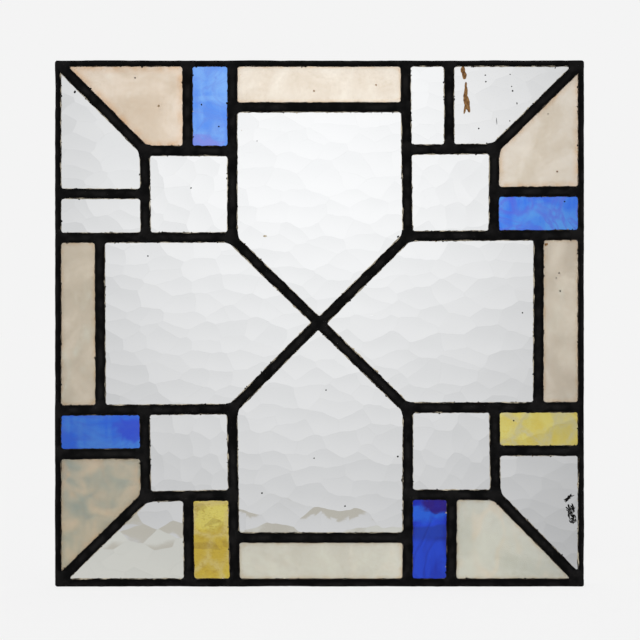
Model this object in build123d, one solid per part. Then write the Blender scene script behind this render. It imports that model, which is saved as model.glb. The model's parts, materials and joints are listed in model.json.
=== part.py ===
from build123d import *
import os
from math import hypot

# Leaded glass panel, upright on its lower edge. X runs across the panel, Z up, and the front faces -Y.
# The origin is the centre of the flat underside of the lower border came. All sizes are millimetres.

# Overall size
PANEL_WIDTH = 460.0
PANEL_HEIGHT = 457.5

# Pattern, between came centre lines: half the middle cross, the corner squares, the slips beside them
MAIN_OFFSET = 75.5
SQUARE_SIDE = 75.8
SLIP_WIDTH = 38.2
# Edge strips, from the outside of the panel to the strip came's centre line
STRIP_WIDTH = 40.2

# Glass and its bed of cement
GLASS_THICKNESS = 3.0
CEMENT_BED = 0.6
CEMENT_LIP = 0.5
EDGE_CLEARANCE = 0.8

# H section came: flanges over the glass, joined by a heart between the panes. A flange is thickest along
# the flat land in its middle, and slopes off to its edges
CAME_FACE = 8.2
HEART_THICKNESS = 1.6
FLANGE_EDGE = 0.5
FLANGE_MIDDLE = 0.9
FLANGE_LAND = 3.4

# U section border came: the heart is at the outside of the panel
BORDER_FACE = 5.1
SILL_FACE = 6.6
BORDER_HEART = 1.6
BORDER_ROUND = 0.8

# Solder joints: low mounds where cames meet, run out along each came and sloped all round
SOLDER_RADIUS = 6.4
SOLDER_HEIGHT = 0.5
SOLDER_SLOPE = 1.3
SOLDER_SIDES = 10
CORNER_SOLDER_RADIUS = 7.6

# How far each hand-set came lies off the drawn pattern, outwards from the middle of the panel:
# first at its outer end, then at the end nearer the middle cross
DRIFT = {
    "upper_left": {
        "main_upright": (0.3, 0.3),
        "main_level": (-1.0, -0.6),
        "square_upright": (0.7, -0.2),
        "square_level": (-1.0, -1.4),
        "slip_upright": (1.3, 0.9),
        "slip_level": (-0.8, -1.1),
    },
    "upper_right": {
        "main_upright": (-0.8, 1.1),
        "main_level": (1.6, 0.4),
        "square_upright": (0.6, 0.2),
        "square_level": (0.6, -0.2),
        "slip_upright": (-1.1, -0.9),
        "slip_level": (1.2, 0.7),
    },
    "lower_left": {
        "main_upright": (-1.8, 0.5),
        "main_level": (0.1, -1.1),
        "square_upright": (-0.2, 0.8),
        "square_level": (-0.8, -2.1),
        "slip_upright": (-0.3, 0.5),
        "slip_level": (-0.2, -0.6),
    },
    "lower_right": {
        "main_upright": (1.0, 1.3),
        "main_level": (-2.8, -2.3),
        "square_upright": (1.6, 0.8),
        "square_level": (-2.3, -2.4),
        "slip_upright": (0.8, 1.2),
        "slip_level": (-3.1, -3.2),
    },
}
# The same for the four edge strip cames: at the left or lower end, then at the right or upper end
STRIP_DRIFT = {"top": (-0.7, -0.4), "bottom": (-2.4, -2.4), "left": (0.5, 1.2), "right": (0.4, 0.8)}
# The long cross came lies below its corners, and its lower half-length partner starts off centre
LONG_CROSS_SHIFT = 1.1
LOWER_HALF_SHIFT = 2.2

# Worked out from the sizes above
MID_HEIGHT = PANEL_HEIGHT / 2
HALF_FACE = CAME_FACE / 2
PANE_INSET = HEART_THICKNESS / 2 + EDGE_CLEARANCE
BORDER_PANE_INSET = BORDER_HEART + EDGE_CLEARANCE
CHANNEL_HALF = GLASS_THICKNESS / 2 + CEMENT_BED
EDGE_DEPTH = CHANNEL_HALF + FLANGE_EDGE
LAND_DEPTH = CHANNEL_HALF + FLANGE_MIDDLE
SOLDER_DEPTH = LAND_DEPTH + SOLDER_HEIGHT
SQUARE_OFFSET = MAIN_OFFSET + SQUARE_SIDE
SLIP_OFFSET = MAIN_OFFSET + SLIP_WIDTH

# Each corner of the pattern: its side along X and along Z
CORNERS = {"upper_left": (-1, 1), "upper_right": (1, 1), "lower_left": (-1, -1), "lower_right": (1, -1)}
# The came of the middle cross that ends at each corner
CROSS_AT = {
    "upper_left": "long",
    "upper_right": "upper_half",
    "lower_left": "lower_half",
    "lower_right": "long",
}
# Each side of the panel: the kind of main came that its strip came lies between, and their two corners
STRIP_ENDS = {
    "top": ("main_upright", "upper_left", "upper_right"),
    "bottom": ("main_upright", "lower_left", "lower_right"),
    "left": ("main_level", "upper_left", "lower_left"),
    "right": ("main_level", "upper_right", "lower_right"),
}
# The two crossing cames that close each arm's point, in order from the arm's second corner to its first
ARM_POINTS = {
    "top": ("upper_half", "long"),
    "bottom": ("long", "lower_half"),
    "left": ("lower_half", "long"),
    "right": ("long", "upper_half"),
}


class Run:
    """A straight line in the panel's plane, from one (x, z) point to another."""

    def __init__(self, start, end, inset=PANE_INSET, edge=HALF_FACE):
        self.start = start
        self.end = end
        self.length = hypot(end[0] - start[0], end[1] - start[1])
        self.along = ((end[0] - start[0]) / self.length, (end[1] - start[1]) / self.length)
        self.across = (-self.along[1], self.along[0])
        # Distances from the line to the glass and to the flange's edge
        self.inset = inset
        self.edge = edge

    def side_of(self, point):
        """1 where the point lies on the across side of the line, or else -1."""
        away = (point[0] - self.start[0]) * self.across[0] + (point[1] - self.start[1]) * self.across[1]
        return 1 if away > 0 else -1

    def shifted(self, distance):
        """The same line moved sideways, towards its across side."""
        dx = self.across[0] * distance
        dz = self.across[1] * distance
        start = (self.start[0] + dx, self.start[1] + dz)
        end = (self.end[0] + dx, self.end[1] + dz)
        return Run(start, end, self.inset, self.edge)

    def towards(self, point, distance):
        """The line moved by the distance to the side where the point lies."""
        return self.shifted(self.side_of(point) * distance)

    def meets(self, other):
        """Where the two lines cross, however far they have to be drawn on."""
        (ax, az), (bx, bz) = self.along, other.along
        turn = ax * bz - az * bx
        gap_x = other.start[0] - self.start[0]
        gap_z = other.start[1] - self.start[1]
        travel = (gap_x * bz - gap_z * bx) / turn
        return (self.start[0] + ax * travel, self.start[1] + az * travel)

    def middle(self):
        return ((self.start[0] + self.end[0]) / 2, (self.start[1] + self.end[1]) / 2)


class Came:
    """A came: the line that it follows and its solid."""

    def __init__(self, run, solid):
        self.run = run
        self.solid = solid


class Joint:
    """A solder joint: its (x, z) point and its mound on the front."""

    def __init__(self, point, mound):
        self.point = point
        self.mound = mound


def border_names(corner):
    """The upright and the level border that meet at a corner."""
    side, rise = CORNERS[corner]
    return ("left" if side < 0 else "right", "top" if rise > 0 else "bottom")


def border_runs():
    """The outside edges of the panel, each with the widths of its border came."""
    half = PANEL_WIDTH / 2
    low_left, low_right = (-half, 0), (half, 0)
    high_left, high_right = (-half, PANEL_HEIGHT), (half, PANEL_HEIGHT)
    return {
        "top": Run(high_left, high_right, BORDER_PANE_INSET, BORDER_FACE),
        "bottom": Run(low_left, low_right, BORDER_PANE_INSET, SILL_FACE),
        "left": Run(low_left, high_left, BORDER_PANE_INSET, BORDER_FACE),
        "right": Run(low_right, high_right, BORDER_PANE_INSET, BORDER_FACE),
    }


def corner_runs(corner):
    """The seven came centre lines of one corner of the pattern, from the border to the middle cross."""
    side, rise = CORNERS[corner]
    drift = DRIFT[corner]
    outer_z = rise * PANEL_HEIGHT / 2
    outer_x = side * PANEL_WIDTH / 2

    def upright(name, offset, outer, inner):
        first, last = drift[name]
        start = (side * (offset + first), MID_HEIGHT + outer)
        end = (side * (offset + last), MID_HEIGHT + inner)
        return Run(start, end)

    def level(name, offset, outer, inner):
        first, last = drift[name]
        start = (outer, MID_HEIGHT + rise * (offset + first))
        end = (inner, MID_HEIGHT + rise * (offset + last))
        return Run(start, end)

    runs = {
        "main_upright": upright("main_upright", MAIN_OFFSET, outer_z, rise * MAIN_OFFSET),
        "main_level": level("main_level", MAIN_OFFSET, outer_x, side * MAIN_OFFSET),
        "square_upright": upright("square_upright", SQUARE_OFFSET, rise * SQUARE_OFFSET, rise * MAIN_OFFSET),
        "square_level": level("square_level", SQUARE_OFFSET, side * SQUARE_OFFSET, side * MAIN_OFFSET),
        "slip_upright": upright("slip_upright", SLIP_OFFSET, outer_z, rise * SQUARE_OFFSET),
        "slip_level": level("slip_level", SLIP_OFFSET, outer_x, side * SQUARE_OFFSET),
    }
    square_corner = runs["square_upright"].meets(runs["square_level"])
    borders = border_runs()
    inside_upright, inside_level = (
        borders[name].towards((0, MID_HEIGHT), borders[name].edge) for name in border_names(corner)
    )
    runs["diagonal"] = Run(inside_upright.meets(inside_level), square_corner)
    return runs


def strip_runs():
    """The centre lines of the cames that part the edge strips from the four arms."""
    half_x = PANEL_WIDTH / 2 - STRIP_WIDTH
    half_z = PANEL_HEIGHT / 2 - STRIP_WIDTH

    def level(name, rise):
        first, last = STRIP_DRIFT[name]
        start = (-MAIN_OFFSET, MID_HEIGHT + rise * (half_z + first))
        return Run(start, (MAIN_OFFSET, MID_HEIGHT + rise * (half_z + last)))

    def upright(name, side):
        first, last = STRIP_DRIFT[name]
        start = (side * (half_x + first), MID_HEIGHT - MAIN_OFFSET)
        return Run(start, (side * (half_x + last), MID_HEIGHT + MAIN_OFFSET))

    return {
        "top": level("top", 1),
        "bottom": level("bottom", -1),
        "left": upright("left", -1),
        "right": upright("right", 1),
    }


def cross_runs(corners):
    """The crossing: one long came falling to the right, and two halves that rise to it."""
    node = {name: runs["main_upright"].meets(runs["main_level"]) for name, runs in corners.items()}
    centre = (0, MID_HEIGHT)
    off_centre = (-LOWER_HALF_SHIFT, MID_HEIGHT)
    return {
        "long": Run(node["upper_left"], node["lower_right"]).shifted(-LONG_CROSS_SHIFT),
        "upper_half": Run(node["upper_right"], centre),
        "lower_half": Run(node["lower_left"], off_centre),
    }


def cut_plane(point, normal):
    """An upright plane through the panel at an (x, z) point, facing along an (x, z) direction."""
    return Plane(origin=(point[0], 0, point[1]), z_dir=(normal[0], 0, normal[1]))


def keep_beyond(solid, point, normal):
    """The part of a solid on the side of the plane that the normal points to."""
    return split(solid, bisect_by=cut_plane(point, normal), keep=Keep.TOP)


def came_profile():
    """H section: two flanges that slope from a flat land to their edges, joined by the heart."""
    half = Polyline(
        (0, LAND_DEPTH),
        (FLANGE_LAND / 2, LAND_DEPTH),
        (HALF_FACE, EDGE_DEPTH),
        (HALF_FACE, CHANNEL_HALF),
        (0, CHANNEL_HALF),
    )
    flange = make_face(half + mirror(half, Plane.YZ))
    heart = Rectangle(HEART_THICKNESS, 2 * CHANNEL_HALF)
    return heart + flange + mirror(flange, Plane.XZ)


def border_profile(face):
    """U section from the outside edge inwards: heart, rounded outer corners and two sloping flanges."""
    shoulder = (BORDER_ROUND, LAND_DEPTH)
    outside = Line((0, 0), (0, LAND_DEPTH - BORDER_ROUND))
    corner = TangentArc(outside @ 1, shoulder, tangent=(0, 1))
    flange = Polyline(
        shoulder,
        (face, EDGE_DEPTH),
        (face, CHANNEL_HALF),
        (BORDER_HEART, CHANNEL_HALF),
        (BORDER_HEART, 0),
        (0, 0),
    )
    half = make_face(outside + corner + flange)
    return half + mirror(half, Plane.XZ)


def bar(profile, run, inward=None):
    """A profile swept along a line, over-long at both ends so that its joints can cut it."""
    spare = 2 * CAME_FACE
    across = run.across
    if inward is not None and run.side_of(inward) < 0:
        across = (-across[0], -across[1])
    start = (run.start[0] - run.along[0] * spare, 0, run.start[1] - run.along[1] * spare)
    along = (run.along[0], 0, run.along[1])
    plane = Plane(origin=start, x_dir=(across[0], 0, across[1]), z_dir=along)
    return extrude(plane * profile, amount=run.length + 2 * spare)


def butt(solid, run, other):
    """Cuts a came's end flat against the flange edge of the came that it meets."""
    middle = run.middle()
    edge = other.towards(middle, other.edge)
    turn = edge.side_of(middle)
    return keep_beyond(solid, edge.start, (edge.across[0] * turn, edge.across[1] * turn))


def mitre(solid, run, node, others):
    """Cuts a came's end to a point between its neighbours, halving the angle to each."""
    own = unit_from(node, run.middle())
    for other in others:
        away = unit_from(node, other.middle())
        solid = keep_beyond(solid, node, (own[0] - away[0], own[1] - away[1]))
    return solid


def unit_from(node, point):
    """The direction from a joint towards a point."""
    dx, dz = point[0] - node[0], point[1] - node[1]
    length = hypot(dx, dz)
    return (dx / length, dz / length)


def border_cames(borders):
    """The four border cames, mitred at the corners of the panel."""
    centre = (0, MID_HEIGHT)
    cames = {}
    for name, run in borders.items():
        solid = bar(border_profile(run.edge), run, inward=centre)
        others = ("left", "right") if name in ("top", "bottom") else ("top", "bottom")
        for other in (borders[key] for key in others):
            outside = run.meets(other)
            inside = run.towards(centre, run.edge).meets(other.towards(centre, other.edge))
            seam = Run(outside, inside)
            turn = seam.side_of(run.middle())
            solid = keep_beyond(solid, outside, (seam.across[0] * turn, seam.across[1] * turn))
        cames[name] = Came(run, solid)
    return cames


def corner_cames(corner, runs, borders, cross):
    """The seven cames of one corner, each cut to the cames that it meets."""
    upright_border, level_border = (borders[name] for name in border_names(corner))
    profile = came_profile()
    node = runs["main_upright"].meets(runs["main_level"])
    square_corner = runs["square_upright"].meets(runs["square_level"])
    at_square = [runs["square_upright"], runs["square_level"], runs["diagonal"]]
    at_node = [runs["main_upright"], runs["main_level"], cross]

    def cut(name, joint=None, meeting=(), butts=()):
        run = runs[name]
        solid = bar(profile, run)
        if joint is not None:
            solid = mitre(solid, run, joint, [other for other in meeting if other is not run])
        for other in butts:
            solid = butt(solid, run, other)
        return Came(run, solid)

    return {
        "main_upright": cut("main_upright", node, at_node, [level_border]),
        "main_level": cut("main_level", node, at_node, [upright_border]),
        "square_upright": cut("square_upright", square_corner, at_square, [runs["main_level"]]),
        "square_level": cut("square_level", square_corner, at_square, [runs["main_upright"]]),
        "slip_upright": cut("slip_upright", butts=[level_border, runs["square_level"]]),
        "slip_level": cut("slip_level", butts=[upright_border, runs["square_upright"]]),
        "diagonal": cut("diagonal", square_corner, at_square, [upright_border, level_border]),
    }


def strip_cames(strips, corners):
    """The cames that close the edge strips, each butted between two main cames."""
    cames = {}
    for name, (kind, first, last) in STRIP_ENDS.items():
        run = strips[name]
        solid = bar(came_profile(), run)
        for corner in (first, last):
            solid = butt(solid, run, corners[corner][kind])
        cames[name] = Came(run, solid)
    return cames


def cross_cames(cross, corners):
    """The long cross came, mitred into two corners, and the halves that butt on its edges."""
    profile = came_profile()

    def pointed(solid, run, corner):
        runs = corners[corner]
        node = runs["main_upright"].meets(runs["main_level"])
        return mitre(solid, run, node, [runs["main_upright"], runs["main_level"]])

    long_run = cross["long"]
    long_solid = pointed(bar(profile, long_run), long_run, "upper_left")
    cames = {"long": Came(long_run, pointed(long_solid, long_run, "lower_right"))}
    for name, corner in (("upper_half", "upper_right"), ("lower_half", "lower_left")):
        run = cross[name]
        cames[name] = Came(run, butt(pointed(bar(profile, run), run, corner), run, long_run))
    return cames


def trimmed(points, line, middle):
    """The part of an outline that lies on the same side of a line as its middle."""
    kept = []
    for here, there in zip(points, points[1:] + points[:1]):
        if line.side_of(here) == line.side_of(middle):
            kept.append(here)
        if line.side_of(here) != line.side_of(there):
            kept.append(line.meets(Run(here, there)))
    return kept


def outline(runs, borders, inset_of):
    """The corners of a pane between its bounding lines, each moved inwards by its inset, inside all borders."""
    count = len(runs)
    nodes = [runs[i].meets(runs[(i + 1) % count]) for i in range(count)]
    middle = (sum(node[0] for node in nodes) / count, sum(node[1] for node in nodes) / count)
    sides = [run.towards(middle, inset_of(run)) for run in runs]
    points = [sides[i].meets(sides[(i + 1) % count]) for i in range(count)]
    for border in borders:
        if border not in runs:
            points = trimmed(points, border.towards(middle, inset_of(border)), middle)
    return points


def slab(points, near, far):
    """A flat piece with the given outline, between two depths in front of the panel's mid plane."""
    face = Plane.XZ.offset(near) * make_face(Polyline(*points, close=True))
    return extrude(face, amount=far - near, dir=(0, -1, 0))


def glass_pane(runs, borders):
    """A pane that reaches into the channel on every side, short of the hearts."""
    half = GLASS_THICKNESS / 2
    return slab(outline(runs, borders, lambda run: run.inset), -half, half)


def cement_rings(runs, borders):
    """The cement round a pane's edge, front and back, with a thin sloped lip at the flange's edge."""
    outer = outline(runs, borders, lambda run: run.inset)
    at_flange = outline(runs, borders, lambda run: run.edge)
    at_glass = outline(runs, borders, lambda run: run.edge + CEMENT_LIP)
    face = GLASS_THICKNESS / 2
    opening = loft([
        Plane.XZ.offset(face) * make_face(Polyline(*at_glass, close=True)),
        Plane.XZ.offset(CHANNEL_HALF) * make_face(Polyline(*at_flange, close=True)),
    ])
    front = slab(outer, face, CHANNEL_HALF) - opening
    return [front, mirror(front, Plane.XZ)]


def solder_bead(run, near, far, trim=0.0):
    """Solder along a came's front face, between two distances across its line, with sloped sides."""
    profile = make_face(
        Polyline(
            (near, EDGE_DEPTH),
            (far, EDGE_DEPTH),
            (far - SOLDER_SLOPE, SOLDER_DEPTH),
            (near + SOLDER_SLOPE, SOLDER_DEPTH),
            close=True,
        )
    )
    start = (run.start[0] + run.along[0] * trim, 0, run.start[1] + run.along[1] * trim)
    across = (run.across[0], 0, run.across[1])
    along = (run.along[0], 0, run.along[1])
    plane = Plane(origin=start, x_dir=across, z_dir=along)
    return extrude(plane * profile, amount=run.length - 2 * trim)


def solder_mound(point, cames, border_cames=(), radius=SOLDER_RADIUS):
    """A low mound of solder over the cames at one joint, on the front, clear of the panel's rounded edge."""
    rim = BORDER_ROUND + SOLDER_SLOPE
    inside = Pos(0, 0, MID_HEIGHT) * Box(PANEL_WIDTH - 2 * rim, 2 * SOLDER_DEPTH, PANEL_HEIGHT - 2 * rim)
    beads = [solder_bead(came.run, -HALF_FACE, HALF_FACE) & inside for came in cames]
    for run in (came.run for came in border_cames):
        turn = run.side_of((0, MID_HEIGHT))
        beads.append(solder_bead(run, *sorted((turn * BORDER_ROUND, turn * run.edge)), rim))

    def ring(reach, depth):
        front = Plane(origin=(point[0], -depth, point[1]), z_dir=(0, -1, 0))
        return front * RegularPolygon(reach, SOLDER_SIDES)

    base = ring(radius, EDGE_DEPTH)
    puddle = loft([base, ring(radius - SOLDER_SLOPE, SOLDER_DEPTH)], ruled=True)
    mound = beads[0] & puddle
    for bead in beads[1:]:
        mound = mound + (bead & puddle)
    return Joint(point, mound - [came.solid for came in (*cames, *border_cames)])


def parted(joints):
    """The mounds of all joints, with any two that would run together cut apart midway between them."""
    mounds = []
    for joint in joints:
        x, z = joint.point
        mound = joint.mound
        for other_x, other_z in (other.point for other in joints if other is not joint):
            if hypot(x - other_x, z - other_z) < 2 * CORNER_SOLDER_RADIUS:
                halfway = ((x + other_x) / 2, (z + other_z) / 2)
                mound = keep_beyond(mound, halfway, (x - other_x, z - other_z))
        mounds.append(mound)
    return mounds


def corner_joints(corner, cames, borders, cross_came):
    """The solder joints of one corner of the pattern."""
    upright_border, level_border = (borders[name] for name in border_names(corner))
    diagonal = cames["diagonal"]

    def crossing(first, second):
        met = [cames[first], cames[second]]
        return solder_mound(met[0].run.meets(met[1].run), met)

    def at_border(name, border):
        inner_edge = border.run.towards((0, MID_HEIGHT), border.run.edge)
        return solder_mound(inner_edge.meets(cames[name].run), [cames[name]], [border])

    main = (cames["main_upright"], cames["main_level"])
    square = (cames["square_upright"], cames["square_level"])
    return [
        solder_mound(main[0].run.meets(main[1].run), [*main, cross_came]),
        solder_mound(square[0].run.meets(square[1].run), [*square, diagonal]),
        crossing("square_upright", "main_level"),
        crossing("square_level", "main_upright"),
        crossing("slip_upright", "square_level"),
        crossing("slip_level", "square_upright"),
        at_border("main_upright", level_border),
        at_border("slip_upright", level_border),
        at_border("main_level", upright_border),
        at_border("slip_level", upright_border),
        solder_mound(diagonal.run.start, [diagonal], [upright_border, level_border], CORNER_SOLDER_RADIUS),
    ]


def strip_joints(strips, corners):
    """The solder joints at both ends of each edge strip came."""
    joints = []
    for name, (kind, first, last) in STRIP_ENDS.items():
        for corner in (first, last):
            met = [strips[name], corners[corner][kind]]
            joints.append(solder_mound(met[0].run.meets(met[1].run), met))
    return joints


def pane_runs(corners, borders, strips, cross):
    """The bounding lines of every pane, in order round its edge."""
    panes = {}
    for corner, runs in corners.items():
        flank, end = border_names(corner)
        upright_border, level_border = borders[flank], borders[end]
        main_upright, main_level = runs["main_upright"], runs["main_level"]
        square_upright, square_level = runs["square_upright"], runs["square_level"]
        panes[f"{corner}_square"] = [main_upright, square_level, square_upright, main_level]
        panes[f"{corner}_upright_slip"] = [level_border, main_upright, square_level, runs["slip_upright"]]
        panes[f"{corner}_level_slip"] = [upright_border, main_level, square_upright, runs["slip_level"]]
        panes[f"{corner}_{end}"] = [level_border, runs["slip_upright"], square_level, runs["diagonal"]]
        panes[f"{corner}_side"] = [upright_border, runs["slip_level"], square_upright, runs["diagonal"]]
    for name, (cross_first, cross_last) in ARM_POINTS.items():
        kind, last, first = STRIP_ENDS[name]
        near, far = corners[first][kind], corners[last][kind]
        panes[f"arm_{name}"] = [strips[name], near, cross[cross_first], cross[cross_last], far]
        panes[f"strip_{name}"] = [borders[name], near, strips[name], far]
    return panes


def write(name, solids):
    """One node: a single solid, or several that don't touch."""
    shape = solids[0] if len(solids) == 1 else Compound(children=solids)
    shape.label = name
    export_step(shape, f"parts/{name}.step")


def main():
    os.makedirs("parts", exist_ok=True)
    border_lines = border_runs()
    corner_lines = {corner: corner_runs(corner) for corner in CORNERS}
    strip_lines = strip_runs()
    cross_lines = cross_runs(corner_lines)

    borders = border_cames(border_lines)
    corners = {
        corner: corner_cames(corner, runs, border_lines, cross_lines[CROSS_AT[corner]])
        for corner, runs in corner_lines.items()
    }
    strips = strip_cames(strip_lines, corner_lines)
    cross = cross_cames(cross_lines, corner_lines)
    for name, came in borders.items():
        write(f"border_came_{name}", [came.solid])
    for part in ("main", "square", "slip"):
        for way in ("upright", "level"):
            solids = [cames[f"{part}_{way}"].solid for cames in corners.values()]
            write(f"{part}_{way}_cames", solids)
    write("corner_diagonal_cames", [cames["diagonal"].solid for cames in corners.values()])
    write("edge_strip_cames", [came.solid for came in strips.values()])
    write("cross_came_long", [cross["long"].solid])
    write("cross_came_halves", [cross["upper_half"].solid, cross["lower_half"].solid])

    panes = pane_runs(corner_lines, border_lines, strip_lines, cross_lines)
    for name, runs in panes.items():
        write(f"pane_{name}", [glass_pane(runs, border_lines.values())])
    write("cement", [ring for runs in panes.values() for ring in cement_rings(runs, border_lines.values())])

    joints = [solder_mound(cross_lines["long"].meets(cross_lines["upper_half"]), list(cross.values()))]
    for corner, cames in corners.items():
        joints += corner_joints(corner, cames, borders, cross[CROSS_AT[corner]])
    joints += strip_joints(strips, corners)
    mounds = parted(joints)
    write("solder_front", mounds)
    write("solder_back", [mirror(mound, Plane.XZ) for mound in mounds])


main()
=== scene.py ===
import json
import zlib
from math import hypot, pi, radians

import bmesh
import bpy
import numpy as np
from mathutils.bvhtree import BVHTree
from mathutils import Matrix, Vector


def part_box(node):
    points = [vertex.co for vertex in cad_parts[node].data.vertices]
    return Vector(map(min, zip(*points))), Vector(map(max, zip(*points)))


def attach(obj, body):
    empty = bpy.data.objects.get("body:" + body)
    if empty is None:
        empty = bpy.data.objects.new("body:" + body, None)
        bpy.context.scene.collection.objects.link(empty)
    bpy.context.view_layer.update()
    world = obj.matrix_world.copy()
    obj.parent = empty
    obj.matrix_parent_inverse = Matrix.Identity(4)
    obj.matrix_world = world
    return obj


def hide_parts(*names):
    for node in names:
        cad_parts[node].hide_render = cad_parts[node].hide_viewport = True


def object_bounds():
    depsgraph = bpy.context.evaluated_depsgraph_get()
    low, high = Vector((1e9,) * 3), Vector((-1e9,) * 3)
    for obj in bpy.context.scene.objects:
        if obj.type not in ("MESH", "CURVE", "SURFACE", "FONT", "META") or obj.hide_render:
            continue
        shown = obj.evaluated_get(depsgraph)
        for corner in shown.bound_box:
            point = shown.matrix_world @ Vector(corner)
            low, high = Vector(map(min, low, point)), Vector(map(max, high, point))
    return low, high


# Sizes are millimetres in this script's own sums, and metres (MM times them) in Blender
MM = 0.001

# Camera: straight in front of the panel, and the width of its view where the panel stands
CAMERA_DISTANCE = 2600.0
VIEW_WIDTH = 556.6
AIM = (0.4, 231.8)
SENSOR = 36.0

# Light: the white of the background, the sky's share of the light, and the sun's
WHITE = 0.905
SKY = 0.78
SUN = 1.14
SUN_TURN = (radians(52), 0, radians(-35))
SUN_ANGLE = radians(25)

# The lit screen that shows through the glass, before and behind the panel
SCREEN_DISTANCE = 900.0
SCREEN_HALF = 2600.0

# The floor, and how much of its whiteness the camera sees without its shadows
FLOOR_HALF = 40000.0
FLOOR_GLOW = 0.85

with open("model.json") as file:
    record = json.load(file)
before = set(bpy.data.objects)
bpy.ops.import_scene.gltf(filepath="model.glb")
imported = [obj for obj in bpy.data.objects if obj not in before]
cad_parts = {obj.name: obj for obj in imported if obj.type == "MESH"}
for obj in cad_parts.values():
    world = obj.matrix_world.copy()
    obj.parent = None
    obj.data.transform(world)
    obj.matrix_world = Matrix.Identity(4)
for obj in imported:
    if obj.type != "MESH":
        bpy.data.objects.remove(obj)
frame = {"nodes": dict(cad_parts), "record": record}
cad_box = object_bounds()
slots = {part["node"]: part["material_slot"] for part in frame["record"]["subparts"]}


def seeded(name):
    """Random numbers that are the same each run for one name."""
    return np.random.default_rng(zlib.crc32(name.encode()))


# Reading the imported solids

def read(items, name, width=1, kind=float):
    """One property of all the items of a mesh, as an array of rows."""
    flat = np.empty(len(items) * width, kind)
    items.foreach_get(name, flat)
    return flat.reshape(-1, width) if width > 1 else flat


def solids_of(node):
    """The separate solids of a CAD node, each as its corner points."""
    mesh = frame["nodes"][node].data
    points, index = np.unique(np.round(read(mesh.vertices, "co", 3) / MM, 3), axis=0, return_inverse=True)
    index = index.ravel()
    group = list(range(len(points)))

    def root(i):
        while group[i] != i:
            group[i] = group[group[i]]
            i = group[i]
        return i

    for face in mesh.polygons:
        first, *others = (index[v] for v in face.vertices)
        for other in others:
            group[root(other)] = root(first)
    roots = np.array([root(i) for i in range(len(points))])
    return [points[roots == one] for one in np.unique(roots)]


def hull(flat):
    """The convex outline of flat points, in order."""
    ordered = sorted(set(map(tuple, flat.tolist())))

    def chain(points):
        kept = []
        for p in points:
            while len(kept) > 1:
                (ax, az), (bx, bz) = kept[-2], kept[-1]
                if (bx - ax) * (p[1] - az) - (bz - az) * (p[0] - ax) > 0.01:
                    break
                kept.pop()
            kept.append(p)
        return kept[:-1]

    return np.array(chain(ordered) + chain(ordered[::-1]))


def sides_of(outline):
    """The sides of a convex outline: both ends, the direction along it, and the direction inwards."""
    middle = outline.mean(axis=0)
    for a, b in zip(outline, np.roll(outline, -1, axis=0)):
        along = (b - a) / hypot(*(b - a))
        inward = np.array([-along[1], along[0]])
        yield a, b, along, inward if (middle - a) @ inward > 0 else -inward


class Bar:
    """A came as a straight strip seen from the front."""

    def __init__(self, points):
        outline = hull(points[:, [0, 2]])
        sides = np.roll(outline, -1, axis=0) - outline
        longest = sides[np.argmax(np.hypot(*sides.T))]
        self.along = longest / hypot(*longest)
        self.across = np.array([-self.along[1], self.along[0]])
        t, s = outline @ self.along, outline @ self.across
        self.low, self.high = t.min(), t.max()
        self.middle = (s.min() + s.max()) / 2
        self.half = (s.max() - s.min()) / 2

    def place(self, t, s):
        """Points at a distance t along the strip and s across it."""
        t, s = np.broadcast_arrays(t, s)
        return t[..., None] * self.along + (self.middle + s)[..., None] * self.across

    def inside(self, points, spare):
        """Distance to the strip's outline, negative inside, with the strip lengthened by spare."""
        t = points @ self.along
        s = np.abs(points @ self.across - self.middle)
        wide = s - self.half - swell(points[..., 1])
        return np.maximum(wide, np.maximum(self.low - spare - t, t - self.high - spare))


BORDERS = [name for name in frame["nodes"] if name.startswith("border_came")]
CAMES = [name for name in frame["nodes"] if slots[name] == "lead" and name not in BORDERS]
PANES = [name for name in frame["nodes"] if name.startswith("pane_")]
came_solids = {name: solids_of(name) for name in CAMES + BORDERS}
bars = {name: [Bar(points) for points in solids] for name, solids in came_solids.items()}

# Depths from the panel's mid plane: glass face, inside of the flanges, their edge, their middle, solder top
CHANNEL, EDGE, CROWN = np.unique(np.abs(came_solids["cross_came_long"][0][:, 1]))
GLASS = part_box("pane_arm_top")[1].y / MM
SOLDER_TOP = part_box("solder_back")[1].y / MM
PANEL_LOW, PANEL_HIGH = (np.array(corner)[[0, 2]] / MM for corner in cad_box)
MIDDLE = (PANEL_LOW + PANEL_HIGH) / 2
HEART = 0.8

# Hand work: how far the cames' edges wander, over what lengths, and how much more the lower half spreads
EDGE_WANDER = (0.25, 7.0)
EDGE_ROUGH = (0.13, 1.9)
BORDER_WANDER = (0.14, 26.0)
BORDER_ROUGH = (0.06, 4.0)
EDGE_SHORT = 0.1
LOWER_SPREAD = 0.08
SPREAD_BAND = 60.0
# Nicks in the edges: about how far apart, how deep and how long. Dents in the crown, and how far it is dented
NICKS = (45.0, 0.4, 0.9)
DENTS = (0.035, 5.0)
DENTED = 0.08
CAME_STEP = 1.3
END_TUCK = 0.6


def smooth(value):
    """0 below 0, 1 above 1, and an even curve between."""
    value = np.clip(value, 0.0, 1.0)
    return value * value * (3 - 2 * value)


def swell(z):
    """How much wider each side of a came is pressed out, lower down the panel."""
    return LOWER_SPREAD * smooth((MIDDLE[1] - z) / SPREAD_BAND + 0.5)


def wavy(rng, t, size, length):
    """A random smooth line over t, with swings of about size, length apart."""
    place = (t - t.min()) / length
    low = np.floor(place).astype(int)
    values = rng.normal(0, size, low.max() + 2)
    share = smooth(place - low)
    return values[low] * (1 - share) + values[low + 1] * share


def nicks(rng, t, every, depth, length):
    """Small bites and nubs, one about every so often."""
    line = np.zeros_like(t)
    for _ in range(int((t.max() - t.min()) / every) + 1):
        at = rng.uniform(t.min(), t.max())
        line += rng.uniform(-1, 1) * depth * np.exp(-((t - at) / (length * rng.uniform(0.6, 1.5))) ** 2)
    return line


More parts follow.
